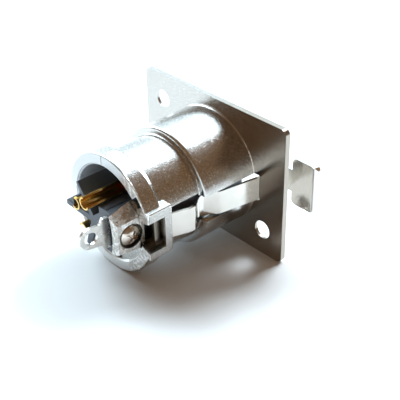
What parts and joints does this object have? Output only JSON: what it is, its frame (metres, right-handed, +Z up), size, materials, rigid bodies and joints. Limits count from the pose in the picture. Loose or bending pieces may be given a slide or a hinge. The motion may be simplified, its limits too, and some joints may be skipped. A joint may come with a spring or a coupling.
{
  "type": "xlr panel socket",
  "caption": "Round-barrelled audio panel socket with a rectangular flange, side latch with thumb tab, solder cups and an eyed ground lug.",
  "frame": {"origin": "centre of the flange's rear face, on the barrel's axis", "axes": "+Z up with the latch at the side, +Y along the barrel toward the solder terminals, mating face toward -Y, latch toward -X"},
  "size_m": [0.0368, 0.0386, 0.0262],
  "materials": {
    "die_cast_shell": "satin nickel plating on a die casting",
    "insulator": "moulded black",
    "gold_contact": "gold plated",
    "tinned_lug": "tin plated sheet",
    "screw_steel": "nickel plated",
    "latch_steel": "smooth bright plating"
  },
  "bodies": {
    "socket": {"housing": "die_cast_shell", "insert": "insulator", "contact_1": "gold_contact", "contact_2": "gold_contact", "contact_3": "gold_contact", "ground_lug": "tinned_lug", "insert_screw": "screw_steel"},
    "lever": {"latch_lever": "latch_steel"},
    "leaf": {"latch_leaf": "latch_steel"}
  },
  "joints": [
    {"name": "latch_press", "type": "hinge", "parent": "socket", "child": "lever", "pos_m": [-0.01197, 0, 0], "axis": [0, 0, 1], "range_deg": [0, 8], "stiffness_Nm_per_rad": 0.2, "springref_deg": -0.29},
    {"name": "leaf_flex", "type": "hinge", "parent": "socket", "child": "leaf", "pos_m": [-0.00955, 0.01885, 0], "axis": [0, 0, -1], "range_deg": [0, 14.5]}
  ],
  "couplings": [
    {"joint": "leaf_flex", "follows": "latch_press", "ratio": 1.7}
  ]
}
